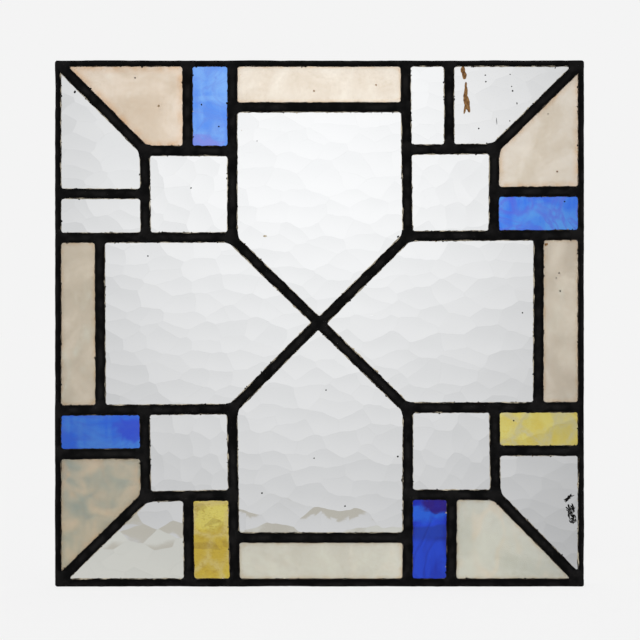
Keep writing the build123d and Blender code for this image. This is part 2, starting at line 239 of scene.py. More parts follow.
# Meshes

def skin(rows, size, wrap=False):
    """Faces between neighbouring rings, and from the last ring to the first if they wrap."""
    i, j = np.meshgrid(np.arange(rows if wrap else rows - 1), np.arange(size), indexing="ij")
    here, there, k = i * size, (i + 1) % rows * size, (j + 1) % size
    return np.stack([here + j, here + k, there + k, there + j], axis=-1).reshape(-1, 4).tolist()


class Shape:
    """Gathers points, faces and one value per point for a mesh."""

    def __init__(self):
        self.points, self.faces, self.values, self.count = [], [], [], 0

    def add(self, points, faces, values=None):
        points = np.asarray(points, float).reshape(-1, 3)
        self.points.append(points)
        self.values.append(np.zeros(len(points)) if values is None else np.ravel(values))
        self.faces += [tuple(i + self.count for i in face) for face in faces]
        self.count += len(points)

    def sweep(self, rings, values):
        """Skin over a row of closed rings, with both ends filled."""
        rows, size = rings.shape[:2]
        ends = [tuple(range(size))[::-1], tuple(range((rows - 1) * size, rows * size))]
        self.add(rings, skin(rows, size) + ends, values)

    def piece(self, name, material, slot, replaced, value_name="rim", angle=40.0):
        """Smooths the mesh and makes it one of the panel's pieces."""
        mesh = bpy.data.meshes.new(name)
        mesh.from_pydata((np.concatenate(self.points) * MM).tolist(), [], self.faces)
        values = mesh.attributes.new(value_name, "FLOAT", "POINT")
        values.data.foreach_set("value", np.concatenate(self.values))
        mesh.validate()
        work = bmesh.new()
        work.from_mesh(mesh)
        bmesh.ops.recalc_face_normals(work, faces=work.faces)
        work.to_mesh(mesh)
        work.free()
        mesh.shade_smooth()
        mesh.set_sharp_from_angle(angle=radians(angle))
        linked(mesh, name, material, replaced)


def placed(name, data):
    """A new object in the scene."""
    made = bpy.data.objects.new(name, data)
    bpy.context.scene.collection.objects.link(made)
    return made


def linked(mesh, name, material, replaced):
    """Makes a mesh one of the panel's pieces."""
    mesh.materials.append(material)
    piece = placed(name, mesh)
    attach(piece, "root")
    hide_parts(*replaced)


# Lead

# Places across a flange, how flat its crown is, how far its edge turns down, and how far it is cut back below
CROWN_AT = np.array([-1.0, -0.9, -0.55, 0.0, 0.55, 0.9, 1.0])
CROWN_POWER = 2.4
TURN_DOWN = 0.12
CUT_BACK = 0.08


def crown_depth(share, dents=0.0):
    """Depth of a flange's outer face, at a share of the way from its middle to its edge."""
    return EDGE - TURN_DOWN + (CROWN - EDGE + TURN_DOWN + dents) * (1 - share ** CROWN_POWER)


def came_edge(rng, t, z):
    """How far one flange edge lies off its true line."""
    line = swell(z) - EDGE_SHORT + wavy(rng, t, *EDGE_WANDER) + wavy(rng, t, *EDGE_ROUGH)
    return line + nicks(rng, t, *NICKS)


def flange(rng, t, left, right):
    """Across and depth of one flange's outer face, from its left edge to its right, at each t."""
    across = np.where(CROWN_AT < 0, CROWN_AT * left[:, None], CROWN_AT * right[:, None])
    dents = wavy(rng, t, *DENTS) - DENTED
    return across, np.minimum(crown_depth(np.abs(CROWN_AT), dents[:, None]), CROWN)


def h_came(shape, bar, rng):
    """One H section came with hand-worked edges, on both faces."""
    count = int((bar.high - bar.low) / CAME_STEP) + 2
    t = np.linspace(bar.low - END_TUCK, bar.high + END_TUCK, count)
    z = bar.place(t, np.zeros(count))[:, 1]
    left, right, back_left, back_right = (bar.half + came_edge(rng, t, z) for _ in range(4))
    front_s, front_d = flange(rng, t, left, right)
    back_s, back_d = flange(rng, t, back_left, back_right)
    one = np.ones(count)

    def inside(first, heart, depth, last):
        """Under one flange, along the heart, under the other."""
        places = (first, depth), (heart * one, depth), (heart * one, -depth), (last, -depth)
        return np.stack([np.stack([s, y * one], axis=1) for s, y in places], axis=1)

    rings = np.concatenate([
        np.stack([front_s, -front_d], axis=2),
        inside(right - CUT_BACK, HEART, -CHANNEL, back_right - CUT_BACK),
        np.stack([back_s, back_d], axis=2)[:, ::-1],
        inside(CUT_BACK - back_left, -HEART, CHANNEL, CUT_BACK - left),
    ], axis=1)
    flat = bar.place(t[:, None], rings[..., 0])
    points = np.stack([flat[..., 0], rings[..., 1], flat[..., 1]], axis=2)
    rim = np.abs(rings[..., 0]) / bar.half
    shape.sweep(points, np.clip(rim, 0, 1))


BORDER_ROUND = np.array([(0.0, 0.0), (0.0, 0.7), (0.25, 0.92), (0.8, 1.0)])
CORNER_ROUND = 2.4


def u_came(shape, bar, rng):
    """One U section border came: smooth outside, worked edges over the glass."""
    count = int((bar.high - bar.low) / CAME_STEP) + 2
    t = np.linspace(bar.low + 0.3, bar.high - 0.3, count)
    flat = bar.place(t, np.zeros(count))
    inward = 1 if (MIDDLE - flat[0]) @ bar.across > 0 else -1
    face = 2 * bar.half
    outer = np.clip(0.18 + wavy(rng, t, *BORDER_WANDER) + wavy(rng, t, *BORDER_ROUGH), 0, 0.7)
    from_end = np.minimum(t - bar.low, bar.high - t)
    short = np.clip(CORNER_ROUND - from_end, 0, CORNER_ROUND)
    outer = np.maximum(outer, CORNER_ROUND - np.sqrt(CORNER_ROUND ** 2 - short ** 2))
    front, back = (face + came_edge(rng, t, flat[:, 1]) for _ in range(2))
    rows = []
    for sign, edge in ((-1, front), (1, back)):
        side = [(outer + s, d * CROWN) for s, d in BORDER_ROUND]
        side += [(0.5 * edge, CROWN - 0.1), (0.85 * edge, EDGE + 0.12), (edge, EDGE - 0.1)]
        side += [(edge - CUT_BACK, CHANNEL), (np.full(count, 2 * HEART), CHANNEL)]
        rows.append([(s, np.full(count, sign * depth)) for s, depth in side])
    s, y = np.transpose(rows[0] + rows[1][::-1][:-1], (1, 2, 0))
    flat = bar.place(t[:, None], inward * (s - bar.half))
    points = np.stack([flat[..., 0], y, flat[..., 1]], axis=2)
    shape.sweep(points, np.clip(s / face, 0, 1))


# Solder

BLOB_SPOKES = 72
BLOB_REACH = 7.2
BLOB_RINGS = np.array([0.0, 0.2, 0.4, 0.6, 0.78, 0.9, 0.97, 1.0])
WEB = 3.6
RIM_CLEAR = 0.7
# How far past its end a came counts at a joint, and how near the joint it has to be
JOINT_SPARE = 3.5
JOINT_NEAR = 2.0


def smooth_union(fields, blend):
    """The nearest of several distances, filled out in the corners between them."""
    joined = fields[0]
    for field in fields[1:]:
        near = np.clip(blend - np.abs(joined - field), 0, None) / blend
        joined = np.minimum(joined, field) - near * near * blend / 4
    return joined


def lead_depth(near, points):
    """Depth of the cames' faces at some points."""
    depth = np.full(points.shape[:-1], EDGE - 0.15)
    for bar in near:
        across = np.abs(points @ bar.across - bar.middle) / (bar.half + swell(points[..., 1]))
        on_it = bar.inside(points, 3.0) < 0
        depth = np.maximum(depth, np.where(on_it, crown_depth(np.clip(across, 0, 1)), 0))
    return depth


def solder_blob(shape, centre, near, rng, side):
    """One puddle of solder over a joint, run into the corners between the cames."""
    angle = np.arange(BLOB_SPOKES) * 2 * pi / BLOB_SPOKES
    spokes = np.stack([np.cos(angle), np.sin(angle)], axis=1)
    waves = [size * np.sin(times * angle + rng.uniform(0, 6)) for size, times in ((0.08, 2), (0.05, 5))]
    reach = BLOB_REACH * (1 + waves[0] + waves[1])
    step = np.arange(0.3, BLOB_REACH * 1.2, 0.12)
    rays = centre + spokes[:, None] * step[None, :, None]
    field = smooth_union([bar.inside(rays, JOINT_SPARE) for bar in near], WEB)
    rim = np.maximum(PANEL_LOW + RIM_CLEAR - rays, rays - PANEL_HIGH + RIM_CLEAR).max(axis=2)
    out = np.maximum(field, rim) > 0
    first = np.where(out.any(axis=1), step[out.argmax(axis=1)], step[-1])
    on_edge = (first < reach)[:, None]
    share = BLOB_RINGS[None, :]
    points = centre + spokes[:, None] * (np.minimum(first, reach)[:, None] * share)[..., None]
    lumps = 0.06 * np.sin(3 * angle + rng.uniform(0, 6))[:, None] * share
    rise = (SOLDER_TOP - CROWN) * rng.uniform(0.75, 1.0) * (1 - share ** 2.6) + lumps * (1 - share)
    depth = lead_depth(near, points) + rise + np.where(on_edge, 0.06, -0.05) * share ** 6
    depth = np.minimum(depth, SOLDER_TOP)
    skirt = np.concatenate([points, points[:, -1:], centre + 0 * points[:, -1:]], axis=1)
    depth = np.concatenate([depth, np.full((BLOB_SPOKES, 2), CHANNEL + 0.05)], axis=1)
    rings = np.stack([skirt[..., 0], side * depth, skirt[..., 1]], axis=2).transpose(1, 0, 2)
    inner = rings[1:-1].reshape(-1, 3)
    top, low, last = len(inner), len(inner) + 1, len(inner) - BLOB_SPOKES
    turn = [(j, (j + 1) % BLOB_SPOKES) for j in range(BLOB_SPOKES)]
    faces = skin(len(rings) - 2, BLOB_SPOKES)
    faces += [(top, k, j) for j, k in turn] + [(low, last + j, last + k) for j, k in turn]
    shape.add(np.concatenate([inner, rings[[0, -1]].mean(axis=1)]), faces)


# Glass

# Facets of each kind of glass: usual width and height, slope at their edges, how flattened they are
RELIEF = {
    "clear_glass": (24.0, 13.5, 0.036, 1.7),
    "amber_glass": (22.0, 16.0, 0.06, 1.4),
    "blue_glass": (26.0, 19.0, 0.01, 1.4),
    "beige_glass": (28.0, 17.0, 0.012, 1.6),
}
SQUARE_RELIEF = (17.0, 15.0, 0.03, 1.0)
SMALLEST_FACET = 0.35
FACET_EDGE = 2.6
CREASE_BAND = 0.9
# What the back face is given: far from the cames, and not shaded
FAR_IN = 100.0
UNSHADED = 3.0


def around(corners):
    """Each corner of an outline with the next one."""
    return zip(corners, corners[1:] + corners[:1])


def cut(polygon, nx, nz, limit):
    """The part of a polygon that lies at the limit or beyond it along a direction."""
    kept = []
    for (ax, az), (bx, bz) in around(polygon):
        here, there = ax * nx + az * nz - limit, bx * nx + bz * nz - limit
        if here >= 0:
            kept.append((ax, az))
        if (here < 0) != (there < 0):
            share = here / (here - there)
            kept.append((ax + (bx - ax) * share, az + (bz - az) * share))
    return kept


def facets(rng, low, high, wide, tall, slope, squash):
    """Domed facets that meet in creases: crown, lift and outline of each, and how sharply all are domed."""
    bend = slope / (squash ** 2 * tall)
    crowns = []
    for row, z in enumerate(np.arange(low[1] - 2 * tall, high[1] + 2 * tall, tall)):
        for x in np.arange(low[0] - 2 * wide, high[0] + 2 * wide, wide):
            dx, dz = rng.uniform(-0.44, 0.44, 2)
            crowns.append((x + wide * (dx + 0.5 * (row % 2)), squash * (z + tall * dz)))
    lifts = rng.normal(0, 0.13 * slope * tall, len(crowns)).tolist()
    reach = 1.6 * max(wide, squash * tall)
    for smallest in (SMALLEST_FACET * wide * tall * squash, 0.0):
        found, kept = [], []
        for i, (x, z) in enumerate(crowns):
            polygon = [(x + u * reach, z + v * reach) for u, v in ((-1, -1), (1, -1), (1, 1), (-1, 1))]
            for j, (ox, oz) in enumerate(crowns):
                if i != j and abs(ox - x) < 2 * reach and abs(oz - z) < 2 * reach and len(polygon) > 2:
                    limit = (lifts[j] - lifts[i]) + bend * (x * x + z * z - ox * ox - oz * oz)
                    polygon = cut(polygon, 2 * bend * (x - ox), 2 * bend * (z - oz), limit)
            area = sum(ax * bz - bx * az for (ax, az), (bx, bz) in around(polygon)) / 2
            if len(polygon) > 2 and area > smallest:
                found.append(((x, z / squash), lifts[i], [(px, pz / squash) for px, pz in polygon]))
                kept.append(i)
        crowns, lifts = [crowns[i] for i in kept], [lifts[i] for i in kept]
    return found, bend


def bent(rng, size, wander):
    """A function that moves points a little, so that straight creases curve."""
    waves = [(scale * rng.uniform(0.8, 1.5), *rng.uniform(0, 2 * pi, 2)) for scale in (1, 1.3, 4, 1, 1.3, 4)]

    def swing(a, b, some):
        return sum((np.sin(a * k * 6 / size + p) + np.sin(b * k * 6 / size + q) / 2) / k for k, p, q in some)

    def move(x, z):
        return x + wander * swing(z, x, waves[:3]), z + wander * swing(x, z, waves[3:])

    return move


def distance_in(outline, points):
    """Distance of points from the nearest side of a convex outline, positive inside it."""
    return np.min([(points - a) @ inward for a, _, _, inward in sides_of(outline)], axis=0)


def opening_of(outline):
    """The visible opening over a pane: the inner corners of its ring of cement, at the flanges."""
    for points in cement_solids:
        flat = points[:, [0, 2]]
        if points[:, 1].max() > 0 or np.abs(hull(flat).mean(axis=0) - outline.mean(axis=0)).max() > 0.5:
            continue
        deep = distance_in(outline, flat) > 1.0
        level = np.abs(np.abs(points[:, 1]) - CHANNEL) < 0.01
        return hull(flat[deep & level])
    raise ValueError("no ring of cement round this pane")


cement_solids = solids_of("cement")
outlines = {name: hull(solids_of(name)[0][:, [0, 2]]) for name in PANES}
openings = {name: opening_of(outline) for name, outline in outlines.items()}
surfaces = []


def facet_mesh(work, found, bend, squash, move):
    """Adds every facet as rings of faces from its creases up to its crown."""
    crease_of = work.verts.layers.float.new("crease")
    facet_of = work.faces.layers.int.new("facet")
    for number, ((x, z), lift, polygon) in enumerate(found):
        loop, level = [], []
        for (ax, az), (bx, bz) in around(polygon):
            length = hypot(bx - ax, bz - az)
            parts = max(1, round(length / FACET_EDGE))
            loop += [(ax + (bx - ax) * k / parts, az + (bz - az) * k / parts) for k in range(parts)]
            # Level creases are given more of the painted crease shade than upright ones
            level += [0.2 + 0.8 * abs(bx - ax) / max(length, 1e-6)] * parts
        loop = np.array(loop)
        centre = loop.mean(axis=0)
        radius = np.hypot(*(loop - centre).T).mean()
        shares = [1.0, max(1 - CREASE_BAND / radius, 0.78), 0.55, 0.3]
        rings = [centre + (loop - centre) * share for share in shares] + [centre[None]]
        made = []
        for share, ring in zip(shares + [0.0], rings):
            height = lift - bend * ((ring[:, 0] - x) ** 2 + (squash * (ring[:, 1] - z)) ** 2)
            px, pz = move(ring[:, 0], ring[:, 1])
            row = []
            for vx, vz, h, line in zip(px, pz, np.clip(height, -0.5, 0.4), level):
                vert = work.verts.new((vx * MM, -(GLASS + h) * MM, vz * MM))
                vert[crease_of] = line if share == 1 else 0
                row.append(vert)
            made.append(row)
        count = len(loop)
        for outer, inner in zip(made, made[1:]):
            for k in range(count):
                m = (k + 1) % count
                rest = (inner[m], inner[k]) if len(inner) > 1 else inner
                face = work.faces.new((outer[k], outer[m], *rest))
                face[facet_of] = number
                face.smooth = True
    bmesh.ops.remove_doubles(work, verts=work.verts[:], dist=0.25 * MM)
    return facet_of


def pane(name, material):
    """One pane with a faceted front face, a smooth back, and values for its material."""
    outline, opening = outlines[name], openings[name]
    rng = seeded(name)
    wide, tall, slope, squash = SQUARE_RELIEF if "square" in name else RELIEF[slots[name]]
    found, bend = facets(rng, outline.min(axis=0), outline.max(axis=0), wide, tall, slope, squash)
    move = bent(rng, 2.0 * wide, 0.045 * wide)
    work = bmesh.new()
    facet_of = facet_mesh(work, found, bend, squash, move)
    for (ax, az), _, _, (nx, nz) in sides_of(outline):
        geom = work.verts[:] + work.edges[:] + work.faces[:]
        corner, outward = (ax * MM, 0, az * MM), (-nx, 0, -nz)
        bmesh.ops.bisect_plane(work, geom=geom, plane_co=corner, plane_no=outward, clear_outer=True)
    creases = [
        edge for edge in work.edges
        if len(edge.link_faces) == 2 and edge.link_faces[0][facet_of] != edge.link_faces[1][facet_of]
    ]
    rim = [edge for edge in work.edges if edge.is_boundary]
    for edge in creases + rim:
        edge.smooth = False
    pulled = bmesh.ops.extrude_edge_only(work, edges=rim)["geom"]
    crease_of = work.verts.layers.float["crease"]
    for vert in (item for item in pulled if isinstance(item, bmesh.types.BMVert)):
        vert.co.y = GLASS * MM
        vert[crease_of] = 0
    back = [edge for edge in work.edges if edge.is_boundary]
    for edge in back:
        edge.smooth = False
    for face in bmesh.ops.holes_fill(work, edges=back, sides=0)["faces"]:
        face[facet_of] = -1
    bmesh.ops.recalc_face_normals(work, faces=work.faces)
    mesh = bpy.data.meshes.new(name)
    work.to_mesh(mesh)
    surfaces.append(BVHTree.FromBMesh(work))
    work.free()
    co = read(mesh.vertices, "co", 3) / MM
    inset = mesh.attributes.new("inset", "FLOAT", "POINT")
    inset.data.foreach_set("value", np.where(co[:, 1] > 0, FAR_IN, distance_in(opening, co[:, [0, 2]])))
    crowns = np.array([move(x, z) for (x, z), _, _ in found])
    shade = rng.normal(0, 1, len(found))
    sizes = read(mesh.polygons, "loop_total", kind=int)
    owner = np.repeat(read(mesh.attributes["facet"].data, "value", kind=int), sizes)
    corners = co[read(mesh.loops, "vertex_index", kind=int)]
    # Painted shade across each facet: darker towards its top, lighter towards its lower left, with a random
    # tone for each facet
    away = (crowns[owner] - corners[:, [0, 2]]) / (wide, tall)
    facet_shades = np.clip(1.0 * away[:, 0] + 2.3 * away[:, 1], -2, 2) + 0.9 * shade[owner]
    facet_shade = mesh.attributes.new("facet_shade", "FLOAT", "CORNER")
    facet_shade.data.foreach_set("value", np.where(owner < 0, UNSHADED, facet_shades))
    linked(mesh, name + "_glass", material, [name])


# Cement, and the dirt on the glass

# How far cement reaches in from the flanges' edges: hidden, none and full. How high it stands, and is sunk
FILLET_REACH = (-1.2, 0.0, 1.0)
FILLET_HIGH, FILLET_SUNK = 0.38, 0.25
FILLET_STEP = 1.6
LIP_WANDER = (0.2, 4.0)
LIP_ROUGH = (0.12, 1.7)


def inset_corners(outline, depth):
    """The corners of a convex outline moved inwards."""
    lines = [(a + inward * depth, along) for a, _, along, inward in sides_of(outline)]
    corners = []
    for (p, u), (q, v) in zip([lines[-1]] + lines[:-1], lines):
        turn = u[0] * v[1] - u[1] * v[0]
        gap = q - p
        corners.append(p + u * (gap[0] * v[1] - gap[1] * v[0]) / turn)
    return np.array(corners)


def cement_fillet(shape, opening, side, rng, kind):
    """A ragged line of old cement from under the flanges down onto the glass, round one pane."""
    count = len(opening)
    hidden, start, full = (inset_corners(opening, depth) for depth in FILLET_REACH)
    rows = []
    for i in range(count):
        j = (i + 1) % count
        length = hypot(*(start[j] - start[i]))
        u = np.linspace(0, 1, max(3, int(length / FILLET_STEP)), endpoint=False)[:, None]
        t = u.ravel() * length
        lip = 0.35 + wavy(rng, t, *LIP_WANDER) + wavy(rng, t, *LIP_ROUGH) + swell(start[i][1]) * 1.4
        lip = np.clip(lip, 0.05, 1.6)[:, None]
        under, edge, far = (corners[i] * (1 - u) + corners[j] * u for corners in (hidden, start, full))
        lap, mid = edge + (far - edge) * lip, edge + (far - edge) * lip * 0.5
        low = GLASS - FILLET_SUNK
        ring = (under, CHANNEL - 0.02), (mid, GLASS + FILLET_HIGH), (lap, low), (under, low)
        rows.append(np.stack([np.insert(flat, 2, depth, axis=1) for flat, depth in ring], axis=1))
    rings = np.concatenate(rows)
    points = np.stack([rings[..., 0], side * rings[..., 2], rings[..., 1]], axis=2)
    shape.add(points, skin(*points.shape[:2], wrap=True), np.full(points[..., 0].shape, kind))


# What cement and crumbs are made of
DARK_CEMENT, PALE_CEMENT = 0.0, 0.25
BLACK, TAN_DIRT, BROWN, PALE = 1.0, 2.0, 3.0, 4.0
# The photo's pixels, as millimetres on the panel
PIXEL = 0.8697
PIXEL_ORIGIN = (319.5, 586.5)


def on_panel(across, down):
    """A place on the panel from a place in the photo."""
    return (across - PIXEL_ORIGIN[0]) * PIXEL, (PIXEL_ORIGIN[1] - down) * PIXEL


# Marks seen in the photo, in its pixels: place across and down, width and height. Then what it is and its
# turn in degrees, where it isn't black or level
MARKS = {
    "streak_short_a": (462.9, 70, 5.4, 9, BROWN, 8),
    "streak_short_b": (464, 75.4, 5, 9, BROWN, 12),
    "streak_long_a": (465.7, 86.5, 2.8, 12, BROWN),
    "streak_long_b": (465.6, 94, 4.6, 14, BROWN, -4),
    "streak_long_c": (466.4, 102, 6, 15, BROWN, 6),
    "streak_fork_a": (464.8, 109.6, 3, 9, BROWN, -8),
    "streak_fork_b": (468.6, 109, 3.6, 9.6, BROWN, 10),
    "speck_quad_a": (485.2, 75.2, 1.6, 1.4),
    "speck_quad_b": (485.6, 81.8, 1.8, 1.5, BLACK, 20),
    "speck_quad_c": (510, 74.4, 1.2, 1.2),
    "speck_quad_d": (511.5, 86.6, 1.3, 1.3),
    "speck_quad_e": (512.5, 91, 2, 2),
    "speck_quad_f": (516.8, 103.4, 1.3, 2.4),
    "speck_quad_g": (509.6, 121, 1.4, 1.4),
    "speck_quad_h": (478.6, 128.5, 2, 1.8),
    "line_quad": (496.6, 121.5, 0.7, 7, BLACK, 4),
    "hook_quad": (555.2, 67.6, 1, 3.4, BLACK, -20),
    "speck_right_beige_high": (548, 114, 1.3, 1.3),
    "tan_spot_left": (158.7, 106, 2.6, 3, TAN_DIRT),
    "tan_spot_arm": (265, 236, 4.4, 2.4, PALE),
    "spot_strip_top_a": (314, 91, 2, 2, BROWN),
    "spot_strip_top_b": (376, 85, 1.8, 1.8, BROWN),
    "smudge_strip_right": (546, 244.5, 4, 2.4, BROWN, 20),
    "speck_top_beige": (135, 78, 1.8, 1.8),
    "nick_left_side": (75, 92, 3.2, 2.4, BLACK, 45),
    "speck_left_blue_a": (201.5, 104.7, 1.6, 2),
    "speck_left_blue_b": (218.8, 126.6, 1.8, 1.8),
    "speck_left_square": (191, 188, 2, 1.6, BLACK, 30),
    "speck_left_arm": (148, 256, 1.8, 1.8),
    "speck_top_arm_a": (257, 141, 1.1, 1.1),
    "speck_top_arm_b": (241.6, 130.6, 0.8, 0.9, PALE),
    "speck_bottom_arm_a": (262, 493, 2, 2),
    "speck_bottom_arm_b": (314, 458, 1.8, 1.6, BLACK, 20),
    "speck_bottom_arm_c": (345, 506, 1.8, 1.8),
    "speck_bottom_arm_d": (326, 390, 1.6, 1.6),
    "speck_bottom_arm_e": (397.8, 456.5, 2, 2),
    "speck_right_amber": (513.5, 420.6, 1.8, 1.8),
    "speck_right_arm": (522.4, 312.8, 1.8, 1.8),
    "speck_right_beige": (557, 171.6, 2, 2.2, BROWN),
    "speck_right_blue": (564.5, 201.6, 1.8, 1.8),
    "speck_right_strip_a": (544, 267, 1.6, 1.8),
    "speck_right_strip_b": (559, 273, 1.8, 1.6),
    "speck_right_strip_c": (556, 278, 1.4, 1.4),
    "speck_right_strip_d": (560, 291, 1.8, 2),
    "nub_right_upright": (402.6, 480, 3.4, 4.6),
    "crumb_under_crossing": (353, 349, 3.4, 3, PALE, 20),
    "crumb_above_crossing": (398, 236.6, 3, 2, BLACK, 40),
}
# Black flakes in the lower right clear pane: place, spread along the slant and across it, slant, how many
FLAKES = {
    "stroke": (568.2, 498, 5.4, 1.2, 38, 18),
    "patch_high": (570.2, 509, 3.8, 4, 118, 26),
    "patch_low": (572.2, 517.8, 4.6, 3.4, 105, 26),
}
FLAKE_LONG = (2.8, 5.0)
FLAKE_WIDE = (0.6, 1.5)
# Stain below the crossing, from one place in the photo to another, and how far apart crumbs lie by the cames
STAIN_LINE = ((352, 349), (402, 396))
STAIN_CRUMBS, STAIN_SLANT = 17, -43
CRUMB_EVERY = 26.0


def crumb(shape, x, z, wide, tall, turn, kind, rng):
    """One small domed crumb with a ragged outline, sitting on the front of the glass."""
    angle = np.linspace(0, 2 * pi, 11, endpoint=False)
    reach = rng.uniform(0.72, 1.12, len(angle))
    u, v = np.cos(angle) * reach * wide / 2, np.sin(angle) * reach * tall / 2
    across, up = u * np.cos(turn) - v * np.sin(turn), u * np.sin(turn) + v * np.cos(turn)
    rise = min(0.35, 0.25 * min(wide, tall))
    rings = []
    for share, high in ((1.0, -0.06), (0.7, 0.75 * rise), (0.0, rise)):
        ring = []
        for a, b in zip(across * share, up * share):
            px, pz = x + a, z + b
            hits = (tree.ray_cast((px * MM, -0.02, pz * MM), (0, 1, 0))[0] for tree in surfaces)
            depth = min([hit.y / MM for hit in hits if hit is not None] + [-GLASS])
            ring.append((px, depth - high, pz))
        rings += ring if share else ring[:1]
    count = len(angle)
    top = [(count + k, count + (k + 1) % count, 2 * count) for k in range(count)]
    shape.add(rings, skin(2, count) + top + [tuple(range(count))[::-1]], np.full(len(rings), kind))


def mark(shape, rng, across, down, wide, tall, kind=BLACK, turn=0):
    """One of the marks seen in the photo."""
    x, z = on_panel(across, down)
    crumb(shape, x, z, wide * PIXEL, tall * PIXEL, radians(turn), kind, rng)


def dirt(shape):
    """The marks seen in the photo, and crumbs along the cames."""
    rng = seeded("dirt")
    for seen in MARKS.values():
        mark(shape, rng, *seen)
    for across, down, along, aside, slant, count in FLAKES.values():
        turn = radians(slant)
        for u, v in PIXEL * rng.uniform(-1, 1, (count, 2)) * (along, aside):
            x, z = on_panel(across, down)
            x, z = x + u * np.cos(turn) - v * np.sin(turn), z + u * np.sin(turn) + v * np.cos(turn)
            wide, tall = rng.uniform(*FLAKE_LONG), rng.uniform(*FLAKE_WIDE)
            crumb(shape, x, z, wide, tall, turn + rng.normal(0, 0.35), BLACK, rng)
    (ax, az), (bx, bz) = (on_panel(*place) for place in STAIN_LINE)
    for share in np.linspace(0.02, 0.98, STAIN_CRUMBS):
        x, z = ax + (bx - ax) * share + rng.normal(0, 0.5), az + (bz - az) * share + rng.normal(0, 0.5)
        kind = (TAN_DIRT, PALE, BLACK)[rng.integers(3)]
        crumb(shape, x, z, rng.uniform(2.5, 5.5), rng.uniform(0.8, 1.6), radians(STAIN_SLANT), kind, rng)
    for opening in openings.values():
        for a, b, _, inward in sides_of(opening):
            for _ in range(rng.poisson(hypot(*(b - a)) / CRUMB_EVERY)):
                x, z = a + (b - a) * rng.uniform(0.04, 0.96) + inward * rng.uniform(0.0, 0.7)
                kind = (BLACK, PALE, TAN_DIRT)[min(int(rng.exponential(0.6)), 2)]
                crumb(shape, x, z, *rng.uniform(0.8, 2.2, 2), rng.uniform(0, pi), kind, rng)


# Materials

class Tree:
    """A material's or the world's nodes, with short ways to add and join them."""

    def __init__(self, name, kind="Material"):
        self.kind = kind
        self.owner = (bpy.data.materials if kind == "Material" else bpy.data.worlds).new(name)
        self.owner.use_nodes = True
        self.nodes = self.owner.node_tree.nodes
        self.links = self.owner.node_tree.links
        self.nodes.clear()

    def add(self, kind, inputs=None, **settings):
        node = self.nodes.new("ShaderNode" + kind)
        for key, value in settings.items():
            setattr(node, key, value)
        for key, value in (inputs or {}).items():
            self.put(node.inputs[key], value)
        return node

    def put(self, socket, value):
        if isinstance(value, bpy.types.NodeSocket):
            self.links.new(value, socket)
        else:
            socket.default_value = (*value, 1.0) if socket.type == "RGBA" else value

    def maths(self, operation, *values):
        return self.add("Math", dict(enumerate(values)), operation=operation).outputs[0]

    def times(self, *values):
        return self.maths("MULTIPLY", *values)

    def plus(self, *values):
        return self.maths("ADD", *values)

    def minus(self, *values):
        return self.maths("SUBTRACT", *values)

    def ramp(self, value, low, high, start=0.0, end=1.0):
        """Brings a value from one range to another, with an even curve."""
        inputs = dict(enumerate((value, low, high, start, end)))
        return self.add("MapRange", inputs, interpolation_type="SMOOTHSTEP").outputs[0]

    def mix(self, share, first, second, blend="MIX"):
        inputs = {0: share, 6: first, 7: second}
        return self.add("Mix", inputs, data_type="RGBA", blend_type=blend).outputs[2]

    def place(self):
        """Where on the object a point is, in metres."""
        return self.add("TexCoord").outputs["Object"]

    def noise(self, scale, detail=3.0, distortion=0.0, stretch=(1, 1, 1)):
        """Noise over the object, scale in swings per metre."""
        mapped = self.add("Mapping", {"Vector": self.place(), "Scale": stretch}).outputs[0]
        inputs = {"Vector": mapped, "Scale": scale, "Detail": detail, "Distortion": distortion}
        return self.add("TexNoise", inputs).outputs["Fac"]

    def spot(self, across, up, wide, tall):
        """1 within a ragged oval at a place on the panel, and 0 outside it."""
        split = self.add("SeparateXYZ", {"Vector": self.place()})
        u = self.maths("DIVIDE", self.minus(split.outputs["X"], across * MM), wide * MM)
        v = self.maths("DIVIDE", self.minus(split.outputs["Z"], up * MM), tall * MM)
        ragged = self.times(self.noise(95.0, 3.0, 1.2), 3.0)
        off = self.plus(self.plus(self.times(u, u), self.times(v, v)), ragged)
        return self.ramp(off, 1.9, 2.9, 1.0, 0.0)

    def patched(self, colour, spots):
        """A colour with patches of other colours laid over it."""
        for place, patch in spots:
            colour = self.mix(self.spot(*place), colour, patch)
        return colour

    def value(self, name):
        return self.add("Attribute", attribute_name=name).outputs["Fac"]

    def bump(self, height, distance):
        return self.add("Bump", {"Height": height, "Distance": distance, "Strength": 1.0}).outputs[0]

    def shown(self):
        """1 for what the camera sees, straight or in gloss and glass, and 0 for other light."""
        path = self.add("LightPath").outputs
        mirrored = self.maths("MAXIMUM", path["Is Glossy Ray"], path["Is Transmission Ray"])
        return self.maths("MAXIMUM", path["Is Camera Ray"], mirrored)

    def end(self, shader):
        self.add("Output" + self.kind, {"Surface": shader})
        return self.owner


def lead_material(name, dark, light, roughness, grain):
    """Black patina with a painted sheen: paler along the crown in blotches, darker to black at the edges,
    with brown by the glass.
    """
    tree = Tree(name)
    blotch = tree.noise(90.0, 4.0)
    fine = tree.noise(900.0, 3.0)
    rim = tree.value("rim")
    # Painted sheen: the paler colour goes on the crown, in blotches, and the edges keep the dark one
    crown = tree.ramp(rim, 0.15, 0.85, 1.0, 0.1)
    crown_sheen_and_blotches = tree.times(crown, tree.ramp(blotch, 0.35, 0.68, 0.1, 1.0))
    base = tree.mix(crown_sheen_and_blotches, dark, light)
    rust = tree.times(tree.ramp(rim, 0.9, 1.0), tree.ramp(tree.noise(160.0, 3.0), 0.5, 0.72))
    base = tree.mix(rust, base, (0.028, 0.013, 0.006))
    rough = tree.ramp(blotch, 0.3, 0.7, roughness - 0.08, roughness + 0.1)
    height = tree.plus(tree.times(blotch, 2.0), fine)
    shader = tree.add("BsdfPrincipled", {
        "Base Color": base, "Roughness": rough, "Specular IOR Level": 0.04,
        "Normal": tree.bump(height, grain * MM),
    })
    return tree.end(shader.outputs[0])


